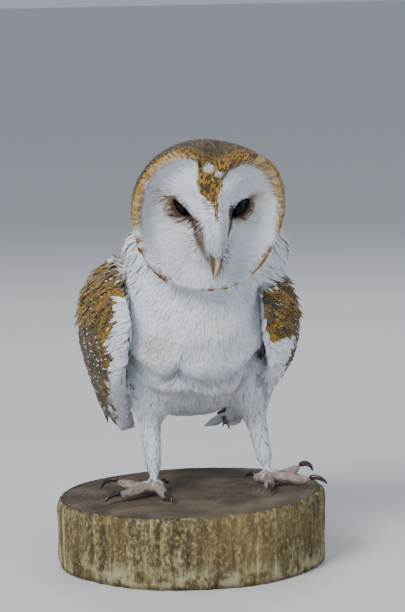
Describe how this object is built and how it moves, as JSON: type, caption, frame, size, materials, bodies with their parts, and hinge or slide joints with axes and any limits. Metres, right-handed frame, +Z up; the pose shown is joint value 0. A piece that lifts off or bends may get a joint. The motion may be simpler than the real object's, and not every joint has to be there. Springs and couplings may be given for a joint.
{
  "type": "taxidermy barn owl on log slice",
  "caption": "Mounted barn owl standing with lowered head and half drooped wings on a round slice of log.",
  "frame": {"origin": "centre of the log slice's flat underside", "axes": "-Y is ahead of the owl, +X is the owl's left side, +Z is up"},
  "size_m": [0.1619, 0.293, 0.2578],
  "materials": {
    "log": "dry weathered bark and a rough grey-brown saw cut",
    "white_feathers": "soft white feathers",
    "gold_feathers": "golden-buff feathers with fine grey-brown and white specks",
    "horn": "pale yellowish horn, satin",
    "eye": "polished black glass",
    "toe_skin": "scaly grey-pink skin",
    "claw": "black horn, satin"
  },
  "bodies": {
    "root": {"log_base": "log", "head": "white_feathers", "bill_upper": "horn", "bill_lower": "horn", "eye_right": "eye", "eye_left": "eye", "neck": "white_feathers", "trunk": "white_feathers", "tail": "gold_feathers", "wing_right": "gold_feathers", "wing_left": "gold_feathers", "thigh_right": "white_feathers", "thigh_left": "white_feathers", "shank_right": "white_feathers", "shank_left": "white_feathers", "foot_right": "toe_skin", "foot_left": "toe_skin", "claw_right_inner": "claw", "claw_right_middle": "claw", "claw_right_outer": "claw", "claw_right_hind": "claw", "claw_left_inner": "claw", "claw_left_middle": "claw", "claw_left_outer": "claw", "claw_left_hind": "claw"}
  },
  "joints": []
}
